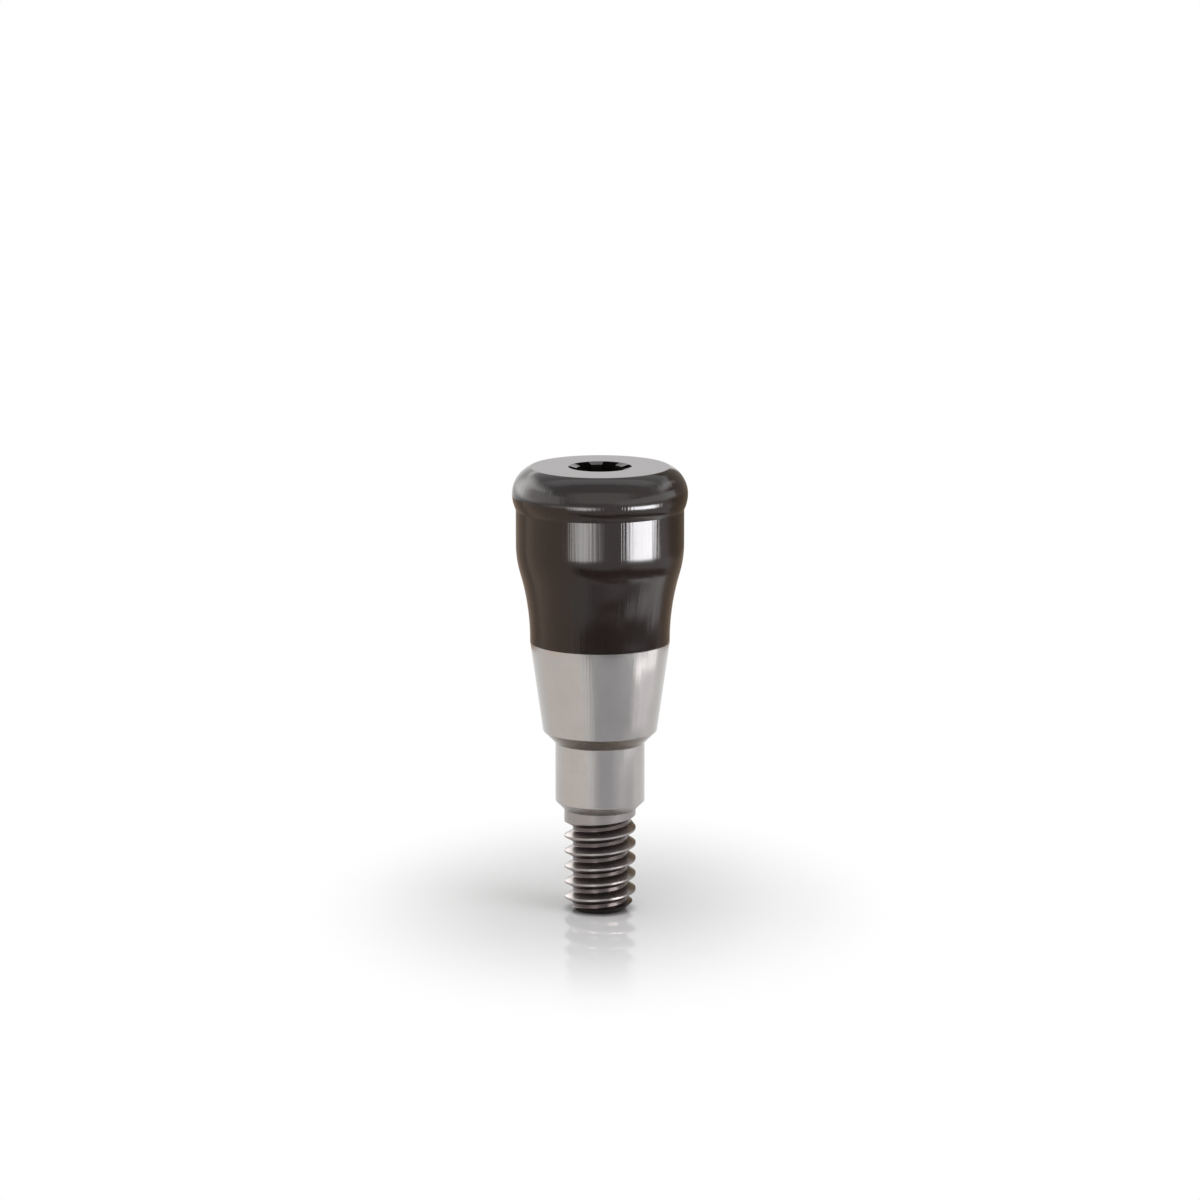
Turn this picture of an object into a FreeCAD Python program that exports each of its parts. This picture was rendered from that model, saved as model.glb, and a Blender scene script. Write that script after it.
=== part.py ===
import FreeCAD, Part
import math
import os

# Overdenture abutment, turned from one bar. Millimetres, +Z up.
# The origin is the middle of the end face of the tip, and the axis of the part is the Z axis.

# Screw thread, metric M1.6 x 0.35, right-hand. Angles run from +X, anticlockwise seen from above.
thread_major_radius = 0.80
thread_pitch = 0.35
thread_flank_slope = 30.0
thread_runout_start = -60.0
thread_runout_sweep = 100.0
unthreaded_length_at_x = 0.2725

# Tip and shank
tip_face_radius = 0.55
tip_chamfer_angle = 45.0
shank_length = 2.31

# Guide barrel, between the shank and the seating cone
guide_radius = 0.995
guide_length = 1.33
barrel_chamfer_angle = 45.0

# Seating cone, which wedges in the implant
cone_foot_radius = 1.27
cone_half_angle = 8.0
cone_length = 2.005

# Waist, where the gum lies, flaring out into the collar
neck_length = 0.04
waist_sweep_radius = 5.35
collar_sweep_radius = 2.28
collar_flare = 0.311
collar_length = 0.785

# Retention button. Its shoulder is an arc that turns in from the equator to the flat top.
button_overhang = 0.082
button_underside_height = 0.342
button_underside_bulge = 0.021
button_shoulder_radius = 0.65
button_shoulder_turn = 68.0

# Six-lobed drive socket
socket_lobe_count = 6
socket_lobe_radius = 0.70
socket_land_radius = 0.53
socket_land_angle = 27.0
socket_land_centre = 38.0
socket_corner_radius = 0.035
socket_mouth_depth = 0.045
socket_depth = 1.60
socket_point_angle = 118.0

# How far a cutting solid runs clear of the metal it cuts
cut_clearance = 0.02

# Points on each curve of the groove, for every half turn
steps_per_stretch = 12


def radial_point(radius, height):
    """A point of the turned outline, in the XZ plane."""
    return FreeCAD.Vector(radius, 0, height)


def polar_point(radius, degrees, height):
    """A point given by its radius, its angle from +X and its height."""
    angle = math.radians(degrees)
    return FreeCAD.Vector(radius * math.cos(angle), radius * math.sin(angle), height)


def chamfer_height(radius_change, angle):
    """Height of a conical chamfer whose side makes this angle with the axis."""
    return abs(radius_change) / math.tan(math.radians(angle))


def arc_edge(start, middle, end):
    return Part.Arc(start, middle, end).toShape()


def line_edge(start, end):
    return Part.LineSegment(start, end).toShape()


class Stations:
    """Heights and radii along the axis, each worked out from the ones below it."""

    def __init__(self):
        self.tip_chamfer_top = chamfer_height(thread_major_radius - tip_face_radius, tip_chamfer_angle)
        self.guide_foot = shank_length + chamfer_height(guide_radius - thread_major_radius,
                                                        barrel_chamfer_angle)
        self.guide_top = self.guide_foot + guide_length
        self.cone_foot = self.guide_top + chamfer_height(cone_foot_radius - guide_radius,
                                                         barrel_chamfer_angle)
        self.cone_top = self.cone_foot + cone_length
        self.neck_radius = cone_foot_radius + cone_length * math.tan(math.radians(cone_half_angle))
        self.waist_foot = self.cone_top + neck_length
        sweep_radii = waist_sweep_radius + collar_sweep_radius
        self.waist_turn = math.acos(1 - collar_flare / sweep_radii)
        self.collar_foot = self.waist_foot + sweep_radii * math.sin(self.waist_turn)
        self.collar_radius = self.neck_radius + collar_flare
        self.collar_top = self.collar_foot + collar_length
        self.button_radius = self.collar_radius + button_overhang
        self.equator = self.collar_top + button_underside_height
        self.shoulder_turn = math.radians(button_shoulder_turn)
        self.flat_radius = self.button_radius - button_shoulder_radius * (1 - math.cos(self.shoulder_turn))
        self.top = self.equator + button_shoulder_radius * math.sin(self.shoulder_turn)


def waist_edges(at):
    """A hollow arc and a rounded arc, tangent to each other, to the neck and to the collar."""
    def hollow(turn):
        return radial_point(at.neck_radius + waist_sweep_radius * (1 - math.cos(turn)),
                            at.waist_foot + waist_sweep_radius * math.sin(turn))

    def rounded(turn):
        return radial_point(at.collar_radius - collar_sweep_radius * (1 - math.cos(turn)),
                            at.collar_foot - collar_sweep_radius * math.sin(turn))

    full = at.waist_turn
    return [arc_edge(hollow(0), hollow(full / 2), hollow(full)),
            arc_edge(hollow(full), rounded(full / 2), rounded(0))]


def button_edges(at):
    """The bulged underside up to the equator, and the shoulder up to the flat top."""
    collar_edge = radial_point(at.collar_radius, at.collar_top)
    equator_edge = radial_point(at.button_radius, at.equator)
    chord = equator_edge - collar_edge
    outward = FreeCAD.Vector(chord.z, 0, -chord.x)
    outward.normalize()
    underside_middle = collar_edge + chord * 0.5 + outward * button_underside_bulge

    def shoulder(turn):
        return radial_point(at.button_radius - button_shoulder_radius * (1 - math.cos(turn)),
                            at.equator + button_shoulder_radius * math.sin(turn))

    return [arc_edge(collar_edge, underside_middle, equator_edge),
            arc_edge(equator_edge, shoulder(at.shoulder_turn / 2), radial_point(at.flat_radius, at.top))]


def turned_blank(at):
    """The part as it comes off the lathe, before the thread and the socket are cut."""
    below_waist = [radial_point(0, 0),
                   radial_point(tip_face_radius, 0),
                   radial_point(thread_major_radius, at.tip_chamfer_top),
                   radial_point(thread_major_radius, shank_length),
                   radial_point(guide_radius, at.guide_foot),
                   radial_point(guide_radius, at.guide_top),
                   radial_point(cone_foot_radius, at.cone_foot),
                   radial_point(at.neck_radius, at.cone_top),
                   radial_point(at.neck_radius, at.waist_foot)]
    edges = [line_edge(a, b) for a, b in zip(below_waist, below_waist[1:])]
    edges += waist_edges(at)
    edges.append(line_edge(radial_point(at.collar_radius, at.collar_foot),
                           radial_point(at.collar_radius, at.collar_top)))
    edges += button_edges(at)
    edges.append(line_edge(radial_point(at.flat_radius, at.top), radial_point(0, at.top)))
    edges.append(line_edge(radial_point(0, at.top), radial_point(0, 0)))
    section = Part.Face(Part.Wire(edges))
    return section.revolve(FreeCAD.Vector(0, 0, 0), FreeCAD.Vector(0, 0, 1), 360)


class ThreadForm:
    """Widths and depth of the basic thread form, from the pitch and the flank slope."""

    def __init__(self):
        self.crest_width = thread_pitch / 8
        self.root_width = thread_pitch / 4
        flank_rise = (thread_pitch - self.crest_width - self.root_width) / 2
        self.slope = math.tan(math.radians(thread_flank_slope))
        self.depth = flank_rise / self.slope
        self.root_radius = thread_major_radius - self.depth

    def half_width(self, radius):
        """Half the width of the groove at a radius."""
        return self.root_width / 2 + (radius - self.root_radius) * self.slope


class GroovePath:
    """The course of the threading tool: a helix that climbs one pitch a turn, then backs out of the metal."""

    def __init__(self, form):
        self.form = form
        self.full_retreat = form.depth + 2 * cut_clearance
        self.height_at_x = shank_length - unthreaded_length_at_x
        turns_below = math.ceil(self.height_at_x / thread_pitch) + 1
        self.first_angle = thread_runout_start - 360.0 * turns_below
        self.last_angle = thread_runout_start + thread_runout_sweep

    def corner(self, angle, radius, side):
        """One corner of the groove's section at this angle, on its lower (-1) or upper (+1) side."""
        share = max(0.0, (angle - thread_runout_start) / thread_runout_sweep)
        middle = self.height_at_x + thread_pitch * angle / 360.0
        return polar_point(radius + self.full_retreat * share**2, angle,
                           middle + side * self.form.half_width(radius))

    def corner_edge(self, start, end, radius, side):
        points = [self.corner(start + (end - start) * step / steps_per_stretch, radius, side)
                  for step in range(steps_per_stretch + 1)]
        curve = Part.BSplineCurve()
        curve.interpolate(points)
        return curve.toShape()

    def stretch(self, start, end):
        """The groove between two angles, as a closed solid that runs a little proud of the crests."""
        inner = self.form.root_radius
        outer = thread_major_radius + cut_clearance
        corners = [self.corner_edge(start, end, radius, side)
                   for radius, side in ((inner, -1), (inner, 1), (outer, 1), (outer, -1))]
        faces = [Part.makeRuledSurface(a, b) for a, b in zip(corners, corners[1:] + corners[:1])]
        for tip in (0, -1):
            outline = [edge.Vertexes[tip].Point for edge in corners]
            faces.append(Part.Face(Part.makePolygon(outline + outline[:1])))
        shell = Part.Shell(faces)
        shell.sewShape()
        solid = Part.Solid(shell)
        if solid.Volume < 0:
            solid.reverse()
        return solid


def groove_solids(form):
    """The helical groove in half turns, up to where it fades out, and the fading stretch."""
    path = GroovePath(form)
    half_turns = round((thread_runout_start - path.first_angle) / 180.0)
    starts = [path.first_angle + 180.0 * index for index in range(half_turns)]
    stretches = [path.stretch(start, start + 180.0) for start in starts]
    stretches.append(path.stretch(thread_runout_start, path.last_angle))
    return stretches


def socket_outline(height):
    """Six lobes on one circle, parted by six lands."""
    step = 360.0 / socket_lobe_count
    half_land = socket_land_angle / 2
    edges = []
    for index in range(socket_lobe_count):
        land = socket_land_centre + index * step
        land_start = polar_point(socket_land_radius, land - half_land, height)
        land_end = polar_point(socket_land_radius, land + half_land, height)
        lobe_start = polar_point(socket_lobe_radius, land + half_land, height)
        lobe_end = polar_point(socket_lobe_radius, land + step - half_land, height)
        next_land = polar_point(socket_land_radius, land + step - half_land, height)
        edges.append(arc_edge(land_start, polar_point(socket_land_radius, land, height), land_end))
        edges.append(line_edge(land_end, lobe_start))
        edges.append(arc_edge(lobe_start, polar_point(socket_lobe_radius, land + step / 2, height), lobe_end))
        edges.append(line_edge(lobe_end, next_land))
    return Part.Wire(edges)


def socket_well(at):
    """The straight lobed well, with its upright corners rounded."""
    floor = at.top - socket_depth
    well = Part.Face(socket_outline(floor)).extrude(FreeCAD.Vector(0, 0, socket_depth + cut_clearance))
    upright = [edge for edge in well.Edges
               if abs(edge.Vertexes[0].Z - edge.Vertexes[-1].Z) > socket_depth / 2]
    land_height = socket_lobe_radius - socket_land_radius
    return well.makeFillet(min(socket_corner_radius, 0.4 * land_height), upright)


def socket_solid(at):
    """The well, its drilled point and the shallow lead-in cone at its mouth."""
    point_depth = socket_land_radius / math.tan(math.radians(socket_point_angle / 2))
    point_tip = FreeCAD.Vector(0, 0, at.top - socket_depth - point_depth)
    point = Part.makeCone(0, socket_land_radius, point_depth, point_tip)
    widening = (socket_lobe_radius - socket_land_radius) / socket_mouth_depth
    mouth_foot = FreeCAD.Vector(0, 0, at.top - socket_mouth_depth)
    mouth = Part.makeCone(socket_land_radius, socket_lobe_radius + cut_clearance * widening,
                          socket_mouth_depth + cut_clearance, mouth_foot)
    return socket_well(at).fuse([point, mouth])


def abutment():
    at = Stations()
    body = turned_blank(at)
    body = body.cut(groove_solids(ThreadForm()))
    body = body.cut(socket_solid(at))
    return body.Solids[0] if len(body.Solids) == 1 else body


def main():
    os.makedirs("parts", exist_ok=True)
    shape = abutment()
    shape.exportStep("parts/abutment.step")
    at = Stations()
    print("abutment:", len(shape.Solids), "solid,", round(shape.Volume, 4), "mm3,",
          "valid" if shape.isValid() else "not valid")
    print("length", round(at.top, 4), "button diameter", round(2 * at.button_radius, 4),
          "cone foot height", round(at.cone_foot, 4), "cone top height", round(at.cone_top, 4))


main()
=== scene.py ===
import math

import bpy
from bpy.props import FloatProperty, FloatVectorProperty, IntProperty, PointerProperty
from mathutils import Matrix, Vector


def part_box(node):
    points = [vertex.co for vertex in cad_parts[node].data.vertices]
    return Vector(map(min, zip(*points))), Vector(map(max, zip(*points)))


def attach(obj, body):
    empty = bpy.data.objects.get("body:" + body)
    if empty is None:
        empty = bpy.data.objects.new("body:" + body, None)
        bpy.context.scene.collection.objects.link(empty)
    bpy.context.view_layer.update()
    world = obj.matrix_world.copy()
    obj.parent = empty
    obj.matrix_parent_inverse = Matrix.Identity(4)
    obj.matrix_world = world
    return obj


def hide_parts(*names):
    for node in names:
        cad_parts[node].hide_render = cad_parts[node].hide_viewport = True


bl_info = {
    "name": "Overdenture abutment",
    "version": (1, 0, 0),
    "blender": (4, 5, 0),
    "location": "View3D > Sidebar > Abutment",
    "description": "Models a turned button abutment with its screw and coating, and its studio",
    "category": "Add Mesh",
}

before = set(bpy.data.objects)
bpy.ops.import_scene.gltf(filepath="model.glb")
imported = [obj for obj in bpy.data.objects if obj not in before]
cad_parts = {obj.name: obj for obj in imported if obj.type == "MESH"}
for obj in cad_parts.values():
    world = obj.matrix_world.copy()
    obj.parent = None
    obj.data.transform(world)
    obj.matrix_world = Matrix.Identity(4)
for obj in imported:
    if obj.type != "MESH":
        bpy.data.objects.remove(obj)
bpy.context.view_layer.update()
PART_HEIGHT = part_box("abutment")[1][2]

MM = 0.001
FULL_TURN = 2 * math.pi

# Points nearer than MERGE are one point, a level cut is exact to CUT, and the body's height fits
# the frame within FIT.
MERGE = 1e-6
CUT = 1e-9
FIT = 0.01 * MM

# Straight steps in each round stretch of an outline, and faces around the cutting tools.
ROUND_STEPS = 4
WAIST_STEPS = 14
COLLAR_SWEEP_STEPS = 12
UNDERSIDE_STEPS = 10
SHOULDER_STEPS = 20
TOOL_SEGMENTS = 192
POINT_SEGMENTS = 128

# Edges that turn more than this many degrees stay sharp.
SHARP_FROM = 32

# The piece's material slots.
BARE, COATED, SHADED_SOCKET = range(3)

# The picture's width in pixels, and the camera sensor's in millimetres.
IMAGE_PIXELS = 1200
SENSOR_MM = 36.0


def length_size(name, description, millimetres):
    """A length property whose default is given in millimetres."""
    return FloatProperty(name=name, description=description, default=millimetres * MM,
                         unit="LENGTH", precision=6)


def angle_size(name, description, degrees):
    """An angle property whose default is given in degrees."""
    return FloatProperty(name=name, description=description, default=math.radians(degrees),
                         subtype="ANGLE")


def fraction(name, description, value):
    """A property between 0 and 1."""
    return FloatProperty(name=name, description=description, default=value, min=0.0, max=1.0)


def colour(name, description, value):
    """A colour property."""
    return FloatVectorProperty(name=name, description=description, default=value,
                               subtype="COLOR", min=0.0, max=1.0)


class AbutmentBodySizes(bpy.types.PropertyGroup):
    """Sizes of the turned body, from the guide barrel up."""
    guide_radius: length_size("Guide radius", "Radius of the plain barrel above the screw", 0.995)
    guide_length: length_size("Guide length", "Length of the plain barrel", 1.33)
    cone_foot_radius: length_size("Cone foot radius", "Radius where the seating cone starts", 1.27)
    cone_half_angle: angle_size("Cone half angle", "Angle between the cone's side and the axis", 8)
    cone_length: length_size("Cone length", "Height of the bare seating cone", 2.005)
    neck_length: length_size("Neck length", "Straight ring between the cone and the waist", 0.04)
    waist_sweep: length_size("Waist sweep", "Radius of the waist's hollow curve", 5.35)
    collar_sweep: length_size("Collar sweep", "Radius of the curve under the collar", 2.28)
    collar_flare: length_size("Collar flare", "How far the collar stands out from the neck", 0.311)
    collar_length: length_size("Collar length", "Height of the straight collar", 0.785)
    button_overhang: length_size("Button overhang", "How far the button stands out", 0.082)
    underside_height: length_size("Underside height", "Height of the button's underside", 0.342)
    underside_bulge: length_size("Underside bulge", "Roundness of the button's underside", 0.021)
    shoulder_radius: length_size("Shoulder radius", "Radius of the button's shoulder", 0.65)
    shoulder_turn: angle_size("Shoulder turn", "How far the shoulder turns before the flat top", 68)
    edge_round: length_size("Edge round", "Rounding that the lathe tool leaves on an edge", 0.022)
    segments: IntProperty(name="Segments", description="Faces around the turned body", default=256)


class AbutmentScrewSizes(bpy.types.PropertyGroup):
    """Sizes of the screw at the foot of the part."""
    crest_radius: length_size("Crest radius", "Outer radius of the thread", 0.80)
    pitch: length_size("Pitch", "Rise of the thread in one turn", 0.35)
    flank_slope: angle_size("Flank slope", "Angle of the thread's flanks", 30)
    shank_length: length_size("Shank length", "Height of the foot of the guide's chamfer", 2.31)
    groove_drop: length_size("Groove drop", "Last groove's height below the shank's top, at +X", 0.2725)
    fade_start: angle_size("Fade start", "Angle from +X where the groove starts to fade", -60)
    fade_sweep: angle_size("Fade sweep", "Angle over which the groove fades out", 100)
    tip_radius: length_size("Tip radius", "Radius of the flat end face", 0.55)
    crest_round: length_size("Crest round", "Rounding of the crest's edges", 0.008)
    root_round: length_size("Root round", "Rounding at the bottom of the groove", 0.020)
    steps: IntProperty(name="Steps", description="Faces in one turn of the thread", default=144)


class AbutmentSocketSizes(bpy.types.PropertyGroup):
    """Sizes of the six-lobed drive socket in the top."""
    lobe_count: IntProperty(name="Lobes", description="Number of lobes", default=6)
    lobe_radius: length_size("Lobe radius", "Radius to the lobes", 0.70)
    land_radius: length_size("Land radius", "Radius to the lands between the lobes", 0.53)
    land_angle: angle_size("Land angle", "Width of a land", 27)
    land_centre: angle_size("Land centre", "Place of the first land, from +X", 38)
    corner_round: length_size("Corner round", "Rounding of the upright corners", 0.035)
    mouth_depth: length_size("Mouth depth", "Depth of the lead-in cone at the mouth", 0.045)
    depth: length_size("Depth", "Depth of the straight well", 1.60)
    point_angle: angle_size("Point angle", "Angle of the drilled point below the well", 118)


class AbutmentFinishes(bpy.types.PropertyGroup):
    """Colours and polish of the coated and the bare metal, and the tones of painted shade on them."""
    coating: colour("Coating", "Colour under the coating's gloss", (0.0104, 0.0064, 0.0052))
    coating_cloud: colour("Coating cloud", "Second tone of the coating", (0.0084, 0.0058, 0.0050))
    coating_polish: fraction("Coating polish", "Roughness of the coating", 0.12)
    titanium: colour("Titanium", "Colour of the bare metal", (0.435, 0.418, 0.404))
    titanium_dull: colour("Titanium dull tone", "Its second tone", (0.375, 0.358, 0.346))
    screw_crest: colour("Screw crest tone", "Tone along the screw's crests", (0.262, 0.242, 0.236))
    # The groove tone is painted shade in the screw's grooves and at its tip, the neck tone painted shade
    # in the neck.
    screw_groove_shade: colour("Screw groove tone", "Tone in the screw's grooves", (0.092, 0.076, 0.074))
    neck_shade_tone: colour("Titanium neck tone", "Tone in the neck under the cone", (0.160, 0.125, 0.100))
    titanium_polish: fraction("Titanium polish", "Roughness of the bare metal", 0.17)
    # The socket's tone is painted shade in the recess.
    socket_shade_tone: colour("Socket tone", "Colour of the coating inside the socket", (0.004, 0.003, 0.0025))
    socket_polish: fraction("Socket polish", "Roughness of the coating inside the socket", 0.46)
    plain_rim: length_size("Plain rim", "Distance below the top where the drawn lines start", 0.01)
    plain_fade: length_size("Plain fade", "Height over which the drawn lines come in", 0.22)
    screw_reach: length_size("Screw tone reach", "How far the screw's tone goes up the chamfer", 0.15)
    screw_fade: length_size("Screw tone fade", "Height over which the screw's tone fades", 0.08)
    # Where the painted shade lies: in the screw's grooves, at the tip and in the neck.
    groove_shade_fade: length_size("Groove tone fade", "Depth where a groove has its full tone", 0.17)
    tip_shade_height: length_size("Tip tone height", "Height of the dark tone at the tip", 0.30)
    tip_shade_fade: length_size("Tip tone fade", "Height over which the tip's tone fades", 0.16)
    neck_shade_rise: length_size("Neck tone rise", "Middle of the neck's tone above the guide", 0.135)
    neck_shade_reach: length_size("Neck tone reach", "How far it goes up and down from there", 0.15)
    neck_shade_fade: length_size("Neck tone fade", "Height over which the neck's tone fades", 0.03)


class AbutmentStageSettings(bpy.types.PropertyGroup):
    """Camera, floor and lamps."""
    camera_distance: length_size("Camera distance", "From the camera to the point it aims at", 115)
    camera_rise: angle_size("Camera rise", "How far the camera looks down", 11)
    aim_height: length_size("Aim height", "Height of the picture's centre on the axis", 7.04)
    pixels_per_mm: FloatProperty(name="Pixels per millimetre", default=45.1,
                                 description="Scale of the 1200 pixel picture at the axis")
    floor_size: length_size("Floor size", "Width of the floor", 900)
    strip_distance: length_size("Strip distance", "From the axis to the strip lamps", 22)
    edge_distance: length_size("Edge distance", "From the axis to the left strip's dim edge", 24)
    strip_low: length_size("Strip foot", "Height of the strip lamps' lower edge", 2.7)
    strip_high: length_size("Strip top", "Height of the strip lamps' upper edge", 7.0)
    plain_light: FloatProperty(name="Plain light", description="Strength of the plain light",
                               default=0.80, min=0.0)
    floor_colour: colour("Floor colour", "Colour of the pale floor", (0.66, 0.66, 0.66))
    floor_polish: fraction("Floor polish", "Roughness of the floor under the part", 0.020)
    floor_haze: fraction("Floor haze", "How much rougher the floor gets away from the part", 0.20)
    haze_start: length_size("Haze start", "Distance from the axis where the floor gets hazy", 2.6)
    haze_reach: length_size("Haze reach", "Further distance to the full haze", 6.4)
    # The contact colour, radius and fade paint a shadow on the floor under the tip.
    contact_shadow_colour: colour("Contact colour", "Tone of the floor under the tip", (0.05, 0.05, 0.05))
    contact_shadow_radius: length_size("Contact radius", "Reach of the dark contact under the tip", 0.88)
    contact_shadow_fade: length_size("Contact fade", "Distance over which the contact fades", 0.30)
    shade_core: length_size("Shade core", "Distance from the part where the floor turns whiter", 1.0)
    shade_reach: length_size("Shade reach", "Distance from the part where the floor is white", 6.8)
    shade_stretch: FloatProperty(name="Shade stretch", default=1.45,
                                 description="How much deeper than wide the shaded floor is")


def leave_edit_mode():
    """Goes back to object mode where a piece is still being shaped."""
    if bpy.context.object and bpy.context.object.mode != "OBJECT":
        bpy.ops.object.mode_set(mode="OBJECT")


def deselect_all():
    """Leaves edit mode and deselects everything, ready for the next step."""
    leave_edit_mode()
    bpy.ops.object.select_all(action="DESELECT")


def choose_only(piece):
    """Selects this piece alone and makes it the active one."""
    deselect_all()
    piece.select_set(True)
    bpy.context.view_layer.objects.active = piece


def begin_outline(name, start):
    """A new mesh of one corner at the start of an outline, left in edit mode."""
    deselect_all()
    bpy.ops.mesh.primitive_plane_add(size=MM, location=(0, 0, 0))
    piece = bpy.context.object
    piece.name = name
    piece.data.name = name
    bpy.ops.object.mode_set(mode="EDIT")
    bpy.ops.mesh.select_all(action="SELECT")
    bpy.ops.mesh.merge(type="CENTER")
    bpy.ops.transform.translate(value=start)
    return piece


def draw_outline(name, points):
    """Draws an outline from corner to corner by extruding its last point."""
    piece = begin_outline(name, points[0])
    for here, there in zip(points, points[1:]):
        step = Vector(there) - Vector(here)
        bpy.ops.mesh.extrude_region_move(TRANSFORM_OT_translate={"value": tuple(step)})
    bpy.ops.mesh.select_all(action="SELECT")
    return piece


def close_seams():
    """Merges doubles and turns the faces outwards, in edit mode."""
    bpy.ops.mesh.select_all(action="SELECT")
    bpy.ops.mesh.remove_doubles(threshold=MERGE)
    bpy.ops.mesh.normals_make_consistent(inside=False)


def spun_solid(name, outline, segments):
    """Turns an outline of (radius, height) about the axis."""
    piece = draw_outline(name, [(radius, 0, height) for radius, height in outline])
    bpy.ops.mesh.spin(steps=segments, angle=FULL_TURN, center=(0, 0, 0), axis=(0, 0, 1))
    close_seams()
    leave_edit_mode()
    return piece


def combine(piece, tool, operation):
    """Cuts or joins a piece with a second solid, which is used up."""
    choose_only(piece)
    modifier = piece.modifiers.new(operation.title(), "BOOLEAN")
    modifier.operation = operation
    modifier.solver = "EXACT"
    modifier.object = tool
    bpy.ops.object.modifier_apply(modifier=modifier.name)
    bpy.data.objects.remove(tool)


def arc_points(centre, radius, start, end, count):
    """Points on an arc in the plane of the outline, from one angle to the other."""
    angles = [start + (end - start) * index / count for index in range(count + 1)]
    return [(centre[0] + radius * math.cos(angle), centre[1] + radius * math.sin(angle))
            for angle in angles]


def rounded_corner(before, corner, after, rounding):
    """Points of a small round in place of a corner, with a support point on each side."""
    corner = Vector(corner)
    back = (Vector(before) - corner).normalized()
    ahead = (Vector(after) - corner).normalized()
    half = back.angle(ahead) / 2
    reach = rounding / math.tan(half)
    centre = corner + (back + ahead).normalized() * (rounding / math.sin(half))
    first = corner + back * reach - centre
    last = corner + ahead * reach - centre
    support = reach + 0.6 * rounding
    points = [corner + back * support]
    turn = first.angle_signed(last)
    for index in range(ROUND_STEPS + 1):
        angle = -turn * index / ROUND_STEPS
        cosine, sine = math.cos(angle), math.sin(angle)
        points.append(centre + Vector((first.x * cosine - first.y * sine,
                                       first.x * sine + first.y * cosine)))
    points.append(corner + ahead * support)
    return [tuple(point) for point in points]


def with_rounds(corners):
    """An outline of (radius, height, rounding) corners with each named rounding put in."""
    outline = []
    for index, (radius, height, rounding) in enumerate(corners):
        if rounding:
            before = corners[index - 1][:2]
            after = corners[(index + 1) % len(corners)][:2]
            outline += rounded_corner(before, (radius, height), after, rounding)
        else:
            outline.append((radius, height))
    return outline


class BodyStations:
    """Heights and radii of the turned body, each worked out from the ones below it."""

    def __init__(self, body, screw):
        self.foot = screw.shank_length
        self.guide_foot = self.foot + body.guide_radius - screw.crest_radius
        self.guide_top = self.guide_foot + body.guide_length
        self.cone_foot = self.guide_top + body.cone_foot_radius - body.guide_radius
        self.cone_top = self.cone_foot + body.cone_length
        self.neck_radius = body.cone_foot_radius + body.cone_length * math.tan(body.cone_half_angle)
        self.waist_foot = self.cone_top + body.neck_length
        sweeps = body.waist_sweep + body.collar_sweep
        self.waist_turn = math.acos(1 - body.collar_flare / sweeps)
        self.collar_foot = self.waist_foot + sweeps * math.sin(self.waist_turn)
        self.collar_radius = self.neck_radius + body.collar_flare
        self.collar_top = self.collar_foot + body.collar_length
        self.button_radius = self.collar_radius + body.button_overhang
        self.equator = self.collar_top + body.underside_height
        self.top = self.equator + body.shoulder_radius * math.sin(body.shoulder_turn)


def waist_outline(body, at):
    """The hollow curve of the waist, and the round curve that leads out to the collar."""
    hollow = arc_points((at.neck_radius + body.waist_sweep, at.waist_foot), body.waist_sweep,
                        math.pi, math.pi - at.waist_turn, WAIST_STEPS)
    rounded = arc_points((at.collar_radius - body.collar_sweep, at.collar_foot), body.collar_sweep,
                         -at.waist_turn, 0, COLLAR_SWEEP_STEPS)
    return hollow + rounded[1:]


def underside_outline(body, at):
    """The bulged underside of the button, from the collar's top to the equator."""
    start = Vector((at.collar_radius, at.collar_top))
    end = Vector((at.button_radius, at.equator))
    chord = end - start
    outward = Vector((chord.y, -chord.x)).normalized()
    bow = (chord.length ** 2 / 4 + body.underside_bulge ** 2) / (2 * body.underside_bulge)
    centre = (start + end) / 2 - outward * (bow - body.underside_bulge)
    first = math.atan2(start.y - centre.y, start.x - centre.x)
    last = math.atan2(end.y - centre.y, end.x - centre.x)
    return arc_points(centre, bow, first, last, UNDERSIDE_STEPS)


def shoulder_outline(body, at):
    """The button's round shoulder, from the equator to the edge of the flat top."""
    centre = (at.button_radius - body.shoulder_radius, at.equator)
    return arc_points(centre, body.shoulder_radius, 0, body.shoulder_turn, SHOULDER_STEPS)


def plain(points):
    """Corners with no rounding of their own."""
    return [(radius, height, 0) for radius, height in points]


def turned_body(body, screw, at):
    """The body from just inside the screw's shank to the flat top."""
    edge = body.edge_round
    overlap = 0.06 * MM
    corners = [(0, at.foot - overlap, 0),
               (screw.crest_radius - overlap, at.foot - overlap, 0),
               (body.guide_radius, at.guide_foot, edge),
               (body.guide_radius, at.guide_top, edge),
               (body.cone_foot_radius, at.cone_foot, edge),
               (at.neck_radius, at.cone_top, 0)]
    corners += plain(waist_outline(body, at))
    corners.append((at.collar_radius, at.collar_top, edge / 2))
    corners += plain(underside_outline(body, at)[1:])
    shoulder = shoulder_outline(body, at)
    corners += plain(shoulder[1:-1])
    corners.append((*shoulder[-1], edge))
    corners.append((0, at.top, 0))
    return spun_solid("abutment_body", with_rounds(corners), body.segments)


def groove_section(screw):
    """One pitch of the thread from mid crest to mid crest, as (radius, height) corners."""
    half_crest = screw.pitch / 16
    half_root = screw.pitch / 8
    depth = (screw.pitch / 2 - half_crest - half_root) / math.tan(screw.flank_slope)
    root = screw.crest_radius - depth
    half = screw.pitch / 2
    corners = [(screw.crest_radius, -half, 0),
               (screw.crest_radius, half_crest - half, screw.crest_round),
               (root, -half_root, screw.root_round),
               (root, half_root, screw.root_round),
               (screw.crest_radius, half - half_crest, screw.crest_round),
               (screw.crest_radius, half, 0)]
    return with_rounds(corners)


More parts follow.
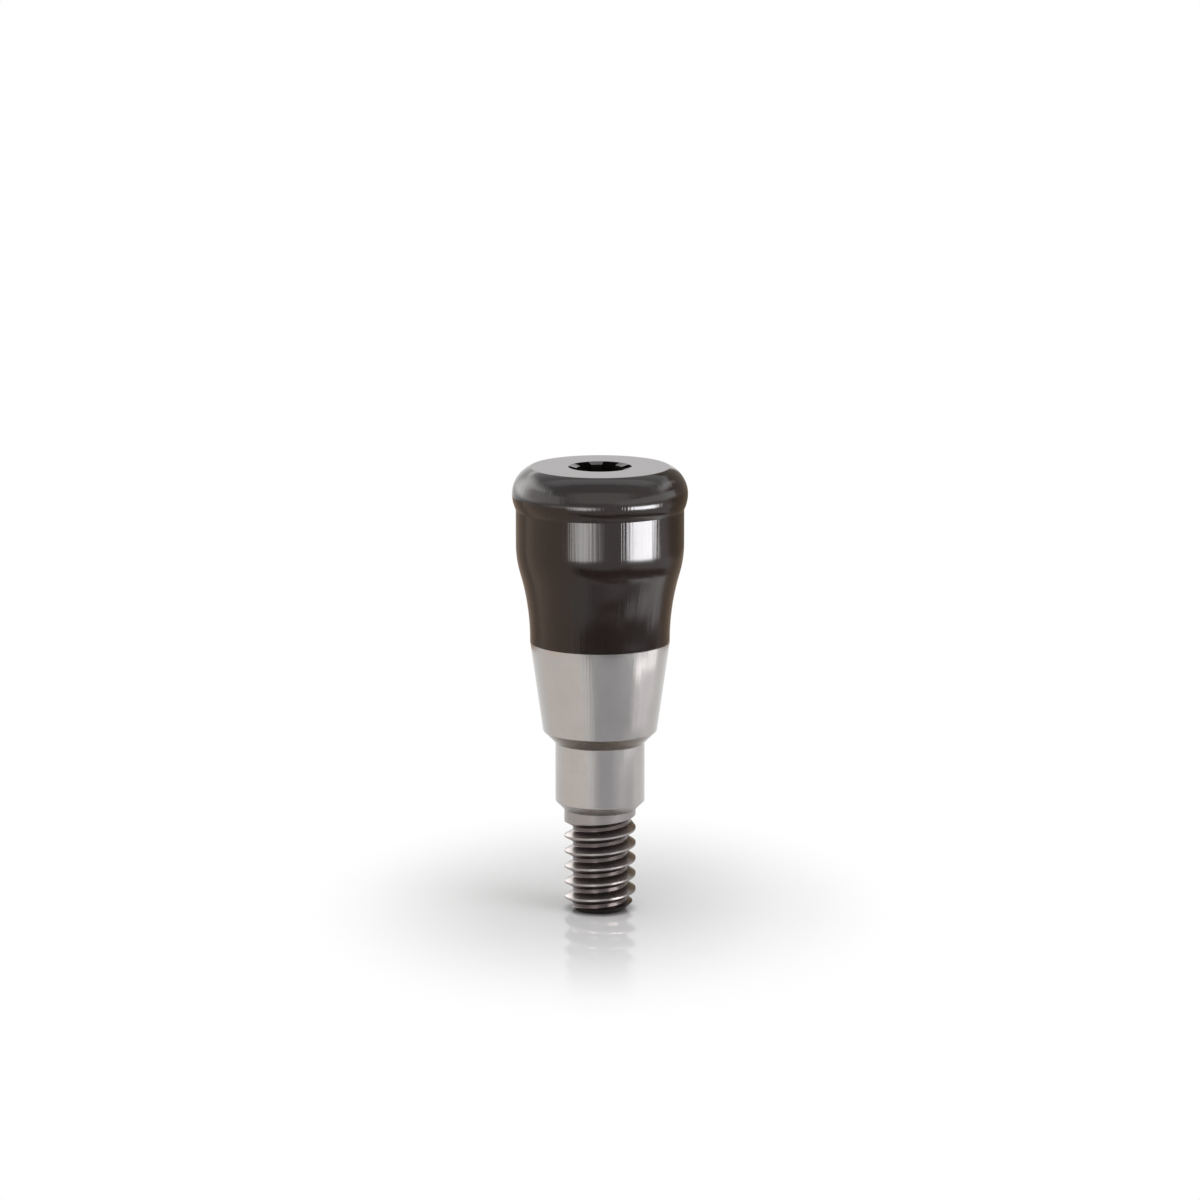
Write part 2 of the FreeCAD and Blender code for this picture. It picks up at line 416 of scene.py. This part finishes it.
def fade_groove(shank, screw):
    """Moves the last part of the groove out to the crests' radius, where the thread runs out."""
    groove_at_x = screw.shank_length - screw.groove_drop
    rise = screw.pitch / FULL_TURN
    for vertex in shank.data.vertices:
        angle = math.atan2(vertex.co.y, vertex.co.x)
        turns = round(((vertex.co.z - groove_at_x) / rise - angle) / FULL_TURN)
        along = (angle + turns * FULL_TURN - screw.fade_start) / screw.fade_sweep
        share = min(max(along, 0.0), 1.0)
        radius = math.hypot(vertex.co.x, vertex.co.y)
        wanted = screw.crest_radius - (screw.crest_radius - radius) * (1 - share ** 2)
        vertex.co.x *= wanted / radius
        vertex.co.y *= wanted / radius


def trim_level(height, keep_above):
    """Cuts the piece level at a height in edit mode, and closes the cut."""
    bpy.ops.mesh.select_all(action="SELECT")
    bpy.ops.mesh.bisect(plane_co=(0, 0, height), plane_no=(0, 0, 1), use_fill=True,
                        clear_inner=keep_above, clear_outer=not keep_above, threshold=CUT)


def tip_trimmer(screw):
    """A cone that trims the thread to its tip: the flat end face and the 45 degree chamfer."""
    height = 1.6 * screw.shank_length
    edge = 0.012 * MM
    corners = [(0, 0, 0), (screw.tip_radius, 0, edge), (screw.tip_radius + height, height, 0),
               (0, height, 0)]
    return spun_solid("tip_trimmer", with_rounds(corners), TOOL_SEGMENTS)


def threaded_shank(screw):
    """The screw: one groove section swept up the axis, cut level, chamfered at its tip."""
    section = groove_section(screw)
    turns_below, turns_above = 8, 3
    spare_below, spare_above = 0.03 * MM, 0.05 * MM
    foot = screw.shank_length - screw.groove_drop - turns_below * screw.pitch
    shank = draw_outline("shank", [(radius, 0, foot + height) for radius, height in section])
    choose_only(shank)
    sweep = shank.modifiers.new("Thread", "SCREW")
    sweep.axis = "Z"
    sweep.angle = FULL_TURN
    sweep.screw_offset = screw.pitch
    sweep.iterations = turns_below + turns_above
    sweep.steps = screw.steps
    sweep.render_steps = screw.steps
    sweep.use_smooth_shade = False
    bpy.ops.object.modifier_apply(modifier=sweep.name)
    fade_groove(shank, screw)
    choose_only(shank)
    bpy.ops.object.mode_set(mode="EDIT")
    bpy.ops.mesh.select_all(action="SELECT")
    bpy.ops.mesh.remove_doubles(threshold=MERGE)
    trim_level(-spare_below, keep_above=True)
    trim_level(screw.shank_length + spare_above, keep_above=False)
    close_seams()
    leave_edit_mode()
    combine(shank, tip_trimmer(screw), "INTERSECT")
    return shank


def wall_arc(radius, middle, half_width, rounding, shares):
    """One arc of the socket's wall, rounded at its ends, with points at shares of its half."""
    def corner(part):
        angle = middle + half_width * part
        return radius * math.cos(angle), radius * math.sin(angle)

    between = plain([corner(part) for part in shares])
    return [(*corner(-1), rounding), *between, (*corner(1), rounding)]


def socket_outline(socket):
    """Six lobes on one circle, parted by six lands, with the upright corners rounded."""
    step = FULL_TURN / socket.lobe_count
    half_land = socket.land_angle / 2
    half_lobe = step / 2 - half_land
    corners = []
    for index in range(socket.lobe_count):
        land = socket.land_centre + index * step
        corners += wall_arc(socket.land_radius, land, half_land, socket.corner_round,
                            (-0.4, 0, 0.4))
        corners += wall_arc(socket.lobe_radius, land + step / 2, half_lobe, socket.corner_round,
                            (-0.6, -0.3, 0, 0.3, 0.6))
    return with_rounds(corners)


def socket_well(socket, top):
    """The straight lobed well, as a solid to cut with."""
    above = 0.1 * MM
    floor = top - socket.depth
    outline = socket_outline(socket)
    well = draw_outline("socket_well", [(x, y, floor) for x, y in outline])
    bpy.ops.mesh.edge_face_add()
    bpy.ops.mesh.select_all(action="SELECT")
    bpy.ops.mesh.extrude_region_move(
        TRANSFORM_OT_translate={"value": (0, 0, socket.depth + above)})
    close_seams()
    leave_edit_mode()
    return well


def socket_point(socket, top):
    """The drilled point under the well."""
    floor = top - socket.depth
    inside = floor + 0.05 * MM
    inset = 0.0005 * MM
    radius = socket.land_radius - inset
    tip = floor - radius / math.tan(socket.point_angle / 2)
    outline = [(0, tip), (radius, floor), (radius, inside), (0, inside)]
    return spun_solid("socket_point", outline, POINT_SEGMENTS)


def socket_mouth(socket, top):
    """The shallow lead-in cone at the mouth."""
    slope = (socket.lobe_radius - socket.land_radius) / socket.mouth_depth
    below = 0.010 * MM
    above = 0.020 * MM
    foot = top - socket.mouth_depth - below
    outline = [(0, foot),
               (socket.land_radius - below * slope, foot),
               (socket.lobe_radius + above * slope, top + above),
               (0, top + above)]
    return spun_solid("socket_mouth", outline, TOOL_SEGMENTS)


def shade_piece(piece, mouth_radius, top):
    """Smooths the gentle turns, and keeps the sharp edges and the socket's mouth sharp."""
    choose_only(piece)
    bpy.ops.object.shade_smooth_by_angle(angle=math.radians(SHARP_FROM))
    for edge in piece.data.edges:
        ends = [piece.data.vertices[index].co for index in edge.vertices]
        level = all(abs(end.z - top) < MERGE for end in ends)
        if level and all(math.hypot(end.x, end.y) < mouth_radius + MERGE for end in ends):
            edge.use_edge_sharp = True


class ShaderValue:
    """A shader socket that takes part in plain arithmetic, each step adding a Math node."""

    def __init__(self, graph, socket):
        self.graph = graph
        self.socket = socket

    def _math(self, operation, first, second=None):
        inputs = {0: first} if second is None else {0: first, 1: second}
        return ShaderValue(self.graph, self.graph.node("ShaderNodeMath", {"operation": operation},
                                                       inputs).outputs[0])

    def __add__(self, other):
        return self._math("ADD", self, other)

    def __radd__(self, other):
        return self._math("ADD", other, self)

    def __sub__(self, other):
        return self._math("SUBTRACT", self, other)

    def __rsub__(self, other):
        return self._math("SUBTRACT", other, self)

    def __mul__(self, other):
        return self._math("MULTIPLY", self, other)

    def __rmul__(self, other):
        return self._math("MULTIPLY", other, self)

    def __truediv__(self, other):
        return self._math("DIVIDE", self, other)

    def __rtruediv__(self, other):
        return self._math("DIVIDE", other, self)

    def __pow__(self, other):
        return self._math("POWER", self, other)

    def __abs__(self):
        return self._math("ABSOLUTE", self)

    def clamped(self):
        """Held between 0 and 1."""
        return self._math("MINIMUM", self._math("MAXIMUM", self, 0.0), 1.0)

    def eased(self):
        """Held between 0 and 1, and eased in and out."""
        value = self.clamped()
        return value * value * (3 - 2 * value)


class ShaderGraph:
    """The nodes of one material or world."""

    def __init__(self, tree):
        self.tree = tree
        tree.nodes.clear()

    def node(self, kind, settings=None, inputs=None):
        """One node: its settings first, then the values or links of its sockets."""
        node = self.tree.nodes.new(kind)
        for name, value in (settings or {}).items():
            setattr(node, name, value)
        for name, value in (inputs or {}).items():
            if isinstance(value, ShaderValue):
                value = value.socket
            if isinstance(value, bpy.types.NodeSocket):
                self.tree.links.new(value, node.inputs[name])
            else:
                node.inputs[name].default_value = value
        return node

    def noise(self, vector, scale, detail=2.0, roughness=0.5):
        """Noise of a given number of periods to the metre, as a value from 0 to 1."""
        node = self.node("ShaderNodeTexNoise", None, {
            "Vector": vector, "Scale": scale, "Detail": detail, "Roughness": roughness})
        return ShaderValue(self, node.outputs["Fac"])

    def mix(self, factor, first, second):
        """A blend of two colours, whose sockets are the Mix node's 6 and 7, and its output 2."""
        node = self.node("ShaderNodeMix", {"data_type": "RGBA"}, {0: factor, 6: first, 7: second})
        return node.outputs[2]

    def blend(self, factor, first, second):
        """A blend of two shaders."""
        return self.node("ShaderNodeMixShader", None, {
            0: factor, 1: first.outputs[0], 2: second.outputs[0]})

    def object_place(self):
        """The place on the object, as one socket, and its three parts by name."""
        place = self.node("ShaderNodeTexCoord").outputs["Object"]
        return place, self.node("ShaderNodeSeparateXYZ", None, {"Vector": place}).outputs


class TurnedSurface:
    """Patterns that follow a lathe: rings around the axis and fine lines along it."""

    RING_DRIFT = 0.02
    RING_SLANT = 0.7
    LINE_CHANGES_PER_METRE = 180

    def __init__(self, graph):
        self.graph = graph
        self.place, parts = graph.object_place()
        self.x, self.y, self.z = [ShaderValue(graph, parts[axis]) for axis in "XYZ"]
        self.radius = (self.x * self.x + self.y * self.y) ** 0.5

    def _vector(self, x, y, z):
        return self.graph.node("ShaderNodeCombineXYZ", None, {"X": x, "Y": y, "Z": z}).outputs[0]

    def rings(self, spacing, seed=0.0, detail=3.0):
        """Fine turning marks around the axis, one about every spacing."""
        across = self.RING_DRIFT / spacing
        vector = self._vector(self.x * across + seed, self.y * across,
                              (self.z + self.radius * self.RING_SLANT) / spacing)
        return self.graph.noise(vector, 1.0, detail, 0.6)

    def lines(self, count, seed=0.0, detail=2.0):
        """Fine lines along the axis, about this many around the part."""
        reach = count / FULL_TURN
        vector = self._vector(self.x / self.radius * reach + seed, self.y / self.radius * reach,
                              self.z * self.LINE_CHANGES_PER_METRE)
        return self.graph.noise(vector, 1.0, detail, 0.55)

    def clouds(self, size, detail=3.0):
        """Soft patches of about this size."""
        return self.graph.noise(self.place, 1.0 / size, detail)


def new_material(name):
    """A new material and its empty node graph."""
    material = bpy.data.materials.new(name)
    material.use_nodes = True
    return material, ShaderGraph(material.node_tree)


def finish_surface(graph, shader):
    """Gives the material this shader as its surface."""
    graph.node("ShaderNodeOutputMaterial", None, {"Surface": shader.outputs[0]})


def bump(graph, height, distance, below=None):
    """A bump of this depth in metres, on top of another one if given."""
    inputs = {"Height": height, "Distance": distance, "Strength": 1.0}
    if below is not None:
        inputs["Normal"] = below
    return graph.node("ShaderNodeBump", None, inputs).outputs["Normal"]


def coated_metal(finishes, at):
    """Hard brown-black coating with a soft gloss over finely turned metal."""
    ring_depth, line_depth = 0.00012 * MM, 0.0060 * MM
    material, graph = new_material("hard_coating")
    surface = TurnedSurface(graph)
    clouds = surface.clouds(0.9 * MM)
    rings = surface.rings(0.030 * MM)
    lines = surface.lines(260, seed=3.1)
    patches = ((clouds - 0.35) * 2.4).clamped()
    tone = graph.mix(patches, (*finishes.coating, 1), (*finishes.coating_cloud, 1))
    side = ((at.top - finishes.plain_rim - surface.z) / finishes.plain_fade).eased()
    drawn = (lines - 0.5) * side
    polish = finishes.coating_polish + (rings - 0.5) * 0.06 + drawn * 0.07 + (clouds - 0.5) * 0.05
    normal = bump(graph, rings, ring_depth)
    normal = bump(graph, drawn, line_depth, normal)
    finish_surface(graph, graph.node("ShaderNodeBsdfPrincipled", None, {
        "Base Color": tone, "Metallic": 0.0, "Roughness": polish, "IOR": 1.40, "Normal": normal}))
    return material


def bare_metal(finishes, screw, at):
    """Bare titanium alloy, satin from the lathe, darker on the screw, with painted shade in its grooves,
    at its tip and in the neck.
    """
    ring_depth, line_depth = 0.00045 * MM, 0.0045 * MM
    material, graph = new_material("bare_titanium")
    surface = TurnedSurface(graph)
    clouds = surface.clouds(0.7 * MM)
    rings = surface.rings(0.026 * MM, seed=5.2)
    coarse = surface.rings(0.11 * MM, seed=1.7, detail=1.0)
    lines = surface.lines(220, seed=8.4)
    wear = (clouds * 0.5 + rings * 0.25 + lines * 0.25 - 0.3) * 2.2
    tone = graph.mix(wear.clamped(), (*finishes.titanium, 1), (*finishes.titanium_dull, 1))
    on_screw = ((at.foot + finishes.screw_reach - surface.z) / finishes.screw_fade).eased()
    groove_shade = ((screw.crest_radius - surface.radius) / finishes.groove_shade_fade).eased()
    tip_shade = ((finishes.tip_shade_height - surface.z) / finishes.tip_shade_fade).eased()
    from_neck = abs(surface.z - (at.guide_top + finishes.neck_shade_rise))
    neck_shade = ((finishes.neck_shade_reach - from_neck) / finishes.neck_shade_fade).eased()
    # The screw's darker tone, then painted shade in the grooves, at the tip and in the neck.
    for place, strength, tone_and_shade in ((on_screw, 0.90, finishes.screw_crest),
                                   (groove_shade, 0.92, finishes.screw_groove_shade),
                                   (tip_shade, 0.80, finishes.screw_groove_shade),
                                   (neck_shade, 0.85, finishes.neck_shade_tone)):
        tone = graph.mix(place * strength, tone, (*tone_and_shade, 1))
    drawn = (lines - 0.5) * (1 - on_screw)
    polish = finishes.titanium_polish + on_screw * 0.08
    polish = polish + (rings - 0.5) * 0.10 + drawn * 0.09 + (coarse - 0.5) * 0.05
    normal = bump(graph, rings, ring_depth)
    normal = bump(graph, drawn, line_depth, normal)
    finish_surface(graph, graph.node("ShaderNodeBsdfPrincipled", None, {
        "Base Color": tone, "Metallic": 1.0, "Roughness": polish, "IOR": 1.5, "Normal": normal}))
    return material


def socket_shade_coating(finishes):
    """The same coating, dull and very dark on the walls of the drive socket: painted shade in the
    recess.
    """
    material, graph = new_material("socket_painted_shade")
    clouds = TurnedSurface(graph).clouds(0.3 * MM)
    polish = finishes.socket_polish + (clouds - 0.5) * 0.2
    finish_surface(graph, graph.node("ShaderNodeBsdfPrincipled", None, {
        "Base Color": (*finishes.socket_shade_tone, 1), "Metallic": 0.0, "Roughness": polish,
        "IOR": 1.15}))
    return material


def finish_faces(piece, materials, socket, at):
    """Bare up to the cone's top, coated above it, dull with painted shade in the socket under its mouth.
    """
    piece.data.materials.clear()
    for material in materials:
        piece.data.materials.append(material)
    socket_radius = socket.lobe_radius + socket.mouth_depth
    under_mouth = at.top - 1.1 * socket.mouth_depth
    for face in piece.data.polygons:
        middle = face.center
        if middle.z < at.cone_top:
            face.material_index = BARE
        elif middle.z < under_mouth and math.hypot(middle.x, middle.y) < socket_radius:
            face.material_index = SHADED_SOCKET
        else:
            face.material_index = COATED


class ABUTMENT_OT_build_part(bpy.types.Operator):
    """Turn the body, cut its thread and its drive socket, and finish the metal"""
    bl_idname = "abutment.build_part"
    bl_label = "Abutment"

    def execute(self, context):
        scene = context.scene
        body, screw, socket = scene.abutment_body, scene.abutment_screw, scene.abutment_socket
        finishes = scene.abutment_finishes
        at = BodyStations(body, screw)
        if abs(at.top - PART_HEIGHT) > FIT:
            raise RuntimeError("The turned body is not as tall as the abutment in the frame")
        piece = turned_body(body, screw, at)
        combine(piece, threaded_shank(screw), "UNION")
        for cut in (socket_well, socket_point, socket_mouth):
            combine(piece, cut(socket, at.top), "DIFFERENCE")
        shade_piece(piece, socket.lobe_radius, at.top)
        materials = bare_metal(finishes, screw, at), coated_metal(finishes, at), socket_shade_coating(finishes)
        finish_faces(piece, materials, socket, at)
        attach(piece, "root")
        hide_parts("abutment")
        return {"FINISHED"}


def shown_rays(graph):
    """1 for the rays that show the background: straight, mirrored or through glass."""
    path = graph.node("ShaderNodeLightPath")
    straight, mirrored, through = [ShaderValue(graph, path.outputs[name]) for name in
                                   ("Is Camera Ray", "Is Glossy Ray", "Is Transmission Ray")]
    return (straight + mirrored + through).clamped()


def floor_material(stage):
    """Pale glossy floor that turns pure white away from the part, with painted shade near it."""
    material, graph = new_material("pale_floor")
    surface = TurnedSurface(graph)
    # Near the part the floor keeps its lit grey, partly real shadow and partly painted shade, which this
    # mask fades to white further off.
    depth = surface.y / stage.shade_stretch
    spread = (surface.x * surface.x + depth * depth) ** 0.5
    away = ((spread - stage.shade_core) / (stage.shade_reach - stage.shade_core)).eased()
    # A painted contact shadow on the floor around the tip's foot.
    contact = ((stage.contact_shadow_radius - surface.radius) / stage.contact_shadow_fade).eased()
    haze = ((surface.radius - stage.haze_start) / stage.haze_reach).eased()
    tone = graph.mix(contact * 0.8, (*stage.floor_colour, 1), (*stage.contact_shadow_colour, 1))
    lit = graph.node("ShaderNodeBsdfPrincipled", None, {
        "Base Color": tone, "Roughness": stage.floor_polish + haze * stage.floor_haze,
        "IOR": 1.30, "Specular IOR Level": 0.35})
    white = graph.node("ShaderNodeEmission", None, {"Color": (1, 1, 1, 1), "Strength": 1.0})
    finish_surface(graph, graph.blend(away * shown_rays(graph), lit, white))
    return material


def lay_floor(stage):
    """The floor that the part stands on."""
    deselect_all()
    bpy.ops.mesh.primitive_plane_add(size=stage.floor_size, location=(0, 0, 0))
    floor = bpy.context.object
    floor.name = "floor"
    floor.data.materials.append(floor_material(stage))


def light_world(scene, stage):
    """A white world for the eye and for reflections, and plain light at the set level."""
    world = bpy.data.worlds.new("studio")
    world.use_nodes = True
    scene.world = world
    graph = ShaderGraph(world.node_tree)
    strength = stage.plain_light + (1 - stage.plain_light) * shown_rays(graph)
    back = graph.node("ShaderNodeBackground", None, {"Color": (1, 1, 1, 1), "Strength": strength})
    graph.node("ShaderNodeOutputWorld", None, {"Surface": back.outputs[0]})


def direction(bearing, rise):
    """A direction given by its bearing from the camera's side, rightwards, and its rise."""
    bearing, rise = math.radians(bearing), math.radians(rise)
    return Vector((math.sin(bearing) * math.cos(rise), -math.cos(bearing) * math.cos(rise),
                   math.sin(rise)))


def add_card(name, glow, softness, place, turn, width, height, lights_floor):
    """A flat glowing card that the camera doesn't see, with its light on the floor or without."""
    deselect_all()
    bpy.ops.mesh.primitive_plane_add(size=1, location=place, rotation=turn)
    card = bpy.context.object
    card.name = name
    card.scale = (width, height, 1)
    card.data.materials.append(card_material(name, glow, *softness))
    card.visible_camera = False
    card.visible_diffuse = lights_floor
    card.visible_shadow = lights_floor


def facing(place, aim):
    """The turn that makes a card at a place face a point."""
    return (Vector(aim) - Vector(place)).to_track_quat("-Z", "Y").to_euler()


def stand_card(name, glow, softness, distance, bearings, heights, lights_floor=False):
    """An upright card that faces the axis, between two bearings and two heights."""
    low, high = heights
    half_angle = math.radians(bearings[1] - bearings[0]) / 2
    middle = Vector((0, 0, (low + high) / 2))
    place = direction(sum(bearings) / 2, 0) * distance + middle
    add_card(name, glow, softness, place, facing(place, middle),
             2 * distance * math.tan(half_angle), high - low, lights_floor)


def hang_card(name, glow, softness, bearing, rise, width, height):
    """A large card some way off, facing the top of the part."""
    place = direction(bearing, rise) * HUNG_DISTANCE
    add_card(name, glow, softness, place, facing(place, (0, 0, HUNG_AIM)), width, height, False)


def card_material(name, glow, soft_x, soft_y):
    """An even glow that fades at the card's edges over these shares of its half width."""
    material, graph = new_material(name)
    strength, *tone = glow
    parts = graph.object_place()[1]
    across, upright = [((1 - abs(ShaderValue(graph, parts[axis])) * 2) / softness).eased()
                       for axis, softness in (("X", soft_x), ("Y", soft_y))]
    lit = graph.node("ShaderNodeEmission", None, {"Color": (*tone, 1), "Strength": strength})
    clear = graph.node("ShaderNodeBsdfTransparent")
    finish_surface(graph, graph.blend(across * upright, clear, lit))
    return material


# What the dark cards for the waist and for the collar have in common.
WAIST_SHADE = (0.10, 1.0, 1.0, 1.06), (0.20, 0.12), 8.0
COLLAR_SHADE = (0.15, 1.0, 1.0, 1.04), (0.25, 0.30)

# Each upright card: name, glow (strength, red, green, blue), softness (across, upright), distance
# from the axis, bearings in degrees, and heights. Lengths are in millimetres.
NEAR_CARDS = (
    ("front_grey", (0.60, 0.99, 1.0, 1.04), (0.30, 0.10), 4.5, (-18, 62), (1.2, 5.15)),
    ("front_grey_low", (0.72, 1.0, 0.98, 1.02), (0.30, 0.20), 4.5, (40, 88), (1.2, 2.75)),
    ("left_pale", (1.05, 1.0, 0.95, 0.90), (0.30, 0.12), 4.5, (-112, -26), (1.2, 4.75)),
    ("right_pale", (1.18, 1.0, 0.97, 1.01), (0.40, 0.12), 4.5, (62, 100), (2.75, 4.6)),
    ("right_glow", (2.0, 1.0, 0.98, 1.02), (0.25, 0.25), 5.5, (40, 88), (4.34, 4.70)),
    ("right_brown", (0.42, 1.0, 0.76, 0.56), (0.25, 0.20), 4.5, (95, 156), (5.0, 7.6)),
    ("right_brown_upper", (0.27, 1.0, 0.78, 0.56), (0.20, 0.12), 4.5, (90, 158), (7.2, 9.3)),
    ("right_dark_top", (0.33, 1.0, 0.85, 0.72), (0.25, 0.20), 4.5, (110, 160), (9.2, 12.6)),
    ("left_warm", (1.15, 1.0, 0.77, 0.63), (0.25, 0.10), 4.5, (-108, -30), (4.95, 8.8)),
    ("left_brown", (0.50, 1.0, 0.76, 0.60), (0.25, 0.10), 4.5, (-166, -100), (4.95, 8.8)),
    ("back_pale", (1.22, 1.0, 0.98, 0.98), (0.10, 0.30), 4.0, (130, 230), (9.6, 12.2)),
    ("waist_dark", *WAIST_SHADE, (-34, 42), (3.55, 5.4)),
    ("waist_dark_mid", *WAIST_SHADE, (34, 64), (3.66, 5.4)),
    ("waist_dark_right", *WAIST_SHADE, (58, 86), (3.92, 5.4)),
    ("waist_dark_edge", *WAIST_SHADE, (82, 102), (4.35, 5.4)),
    ("waist_pale", (2.7, 1.0, 0.99, 1.0), (0.25, 0.20), 8.0, (40, 84), (2.95, 3.92)),
    ("waist_pale_edge", (2.0, 1.0, 0.99, 1.0), (0.30, 0.12), 8.0, (74, 106), (2.35, 4.45)),
    ("waist_grey", (0.45, 1.0, 0.97, 0.95), (0.20, 0.20), 8.0, (-20, 44), (3.15, 3.7)),
    ("collar_dark", *COLLAR_SHADE, 8.0, (-8, 42), (2.6, 3.25)),
    ("collar_dark_right", *COLLAR_SHADE, 7.8, (34, 66), (2.6, 3.15)),
)

# Larger upright cards further off, written in the same way.
LEFT_WALL = ("left_wall", (2.6, 1.0, 0.97, 0.94), (0.4, 0.4), 26, (-118, -44), (7, 24))
RIGHT_WALL = ("right_wall", (2.2, 1.0, 1.0, 1.02), (0.4, 0.4), 26, (15, 128), (9, 20))
RIGHT_FLAG = ("right_flag", (0.34, 1.0, 0.79, 0.56), (0.2, 0.3), 34, (98, 172), (0, 28))
RIGHT_BACK_FLAG = ("right_back_flag", (0.30, 1.0, 0.80, 0.58), (0.3, 0.3), 60, (148, 175), (0, 60))

# The two strip lamps: name, glow, softness and bearings. The stage's settings give the rest.
STRIPS = (
    ("right_strip", (33.0, 0.98, 0.97, 1.0), (0.34, 0.4), (35, 81)),
    ("left_strip", (12.5, 1.0, 0.98, 0.96), (1.0, 0.4), (-49, 5)),
)

# Each lamp that hangs some way off: name, glow, softness, bearing and rise in degrees, and its
# width and height in millimetres.
HUNG_DISTANCE = 68 * MM
HUNG_AIM = 8 * MM
HUNG_LAMPS = (
    ("back_left_lamp", (4.5, 1.0, 0.98, 0.97), (0.7, 0.6), -111, 24, 122, 66),
    ("back_left_edge", (3.0, 1.0, 0.98, 0.96), (0.5, 0.5), -156, 22, 36, 40),
    ("right_lamp", (3.2, 1.0, 1.0, 1.02), (0.6, 0.6), 117, 28, 60, 46),
    ("front_lamp", (1.9, 1.0, 0.97, 0.96), (0.4, 0.4), 0, 36, 120, 60),
    ("over_lamp", (1.9, 1.0, 1.0, 1.02), (0.4, 0.4), 180, 80, 130, 34),
)


def stand_card_in_mm(card, lights_floor=False):
    """Stands one of the cards that are listed in millimetres."""
    name, glow, softness, distance, bearings, (low, high) = card
    stand_card(name, glow, softness, distance * MM, bearings, (low * MM, high * MM), lights_floor)


def light_part(stage):
    """Strip lamps in front, soft lamps above, and cards for the metal to reflect."""
    strips = stage.strip_low, stage.strip_high
    for name, glow, softness, bearings in STRIPS:
        stand_card(name, glow, softness, stage.strip_distance, bearings, strips, lights_floor=True)
    stand_card("left_strip_edge", (2.6, 1.0, 0.96, 0.92), (0.4, 0.4), stage.edge_distance,
               (-74, -28), strips)
    stand_card_in_mm(LEFT_WALL)
    for name, glow, softness, bearing, rise, width, height in HUNG_LAMPS:
        hang_card(name, glow, softness, bearing, rise, width * MM, height * MM)
    stand_card_in_mm(RIGHT_WALL)
    stand_card_in_mm(RIGHT_FLAG, lights_floor=True)
    stand_card_in_mm(RIGHT_BACK_FLAG)
    for card in NEAR_CARDS:
        stand_card_in_mm(card)


def set_camera(scene, stage):
    """The camera in front of the part, raised a little and looking down at its aim."""
    data = bpy.data.cameras.new("camera")
    data.sensor_width = SENSOR_MM
    data.lens = SENSOR_MM * stage.pixels_per_mm * stage.camera_distance / MM / IMAGE_PIXELS
    data.clip_start = MM
    data.clip_end = 10
    camera = bpy.data.objects.new("camera", data)
    scene.collection.objects.link(camera)
    towards = direction(0, math.degrees(stage.camera_rise))
    camera.location = Vector((0, 0, stage.aim_height)) + towards * stage.camera_distance
    camera.rotation_euler = (math.pi / 2 - stage.camera_rise, 0, 0)
    scene.camera = camera


class ABUTMENT_OT_build_stage(bpy.types.Operator):
    """Lay the floor, set the lamps and place the camera"""
    bl_idname = "abutment.build_stage"
    bl_label = "Stage"

    def execute(self, context):
        scene = context.scene
        stage = scene.abutment_stage
        lay_floor(stage)
        light_world(scene, stage)
        light_part(stage)
        set_camera(scene, stage)
        scene.view_settings.view_transform = "Standard"
        return {"FINISHED"}


class ABUTMENT_PT_panel(bpy.types.Panel):
    """Steps that build the abutment and its stage"""
    bl_idname = "ABUTMENT_PT_panel"
    bl_label = "Overdenture abutment"
    bl_space_type = "VIEW_3D"
    bl_region_type = "UI"
    bl_category = "Abutment"

    def draw(self, context):
        layout = self.layout
        for operator in (ABUTMENT_OT_build_part, ABUTMENT_OT_build_stage):
            layout.operator(operator.bl_idname)
        for group in GROUPS:
            settings = getattr(context.scene, group)
            box = layout.box()
            box.label(text=settings.bl_rna.description)
            for name in settings.__annotations__:
                box.prop(settings, name)


GROUPS = {
    "abutment_body": AbutmentBodySizes,
    "abutment_screw": AbutmentScrewSizes,
    "abutment_socket": AbutmentSocketSizes,
    "abutment_finishes": AbutmentFinishes,
    "abutment_stage": AbutmentStageSettings,
}
CLASSES = (*GROUPS.values(), ABUTMENT_OT_build_part, ABUTMENT_OT_build_stage, ABUTMENT_PT_panel)


def register():
    """Adds the classes and the scene's settings to Blender."""
    for cls in CLASSES:
        bpy.utils.register_class(cls)
    for name, group in GROUPS.items():
        setattr(bpy.types.Scene, name, PointerProperty(type=group))


def unregister():
    """Takes the settings and the classes out again."""
    for name in GROUPS:
        delattr(bpy.types.Scene, name)
    for cls in reversed(CLASSES):
        bpy.utils.unregister_class(cls)


def main():
    """Builds the abutment and its stage."""
    register()
    bpy.ops.abutment.build_part()
    bpy.ops.abutment.build_stage()


if __name__ == "__main__":
    main()
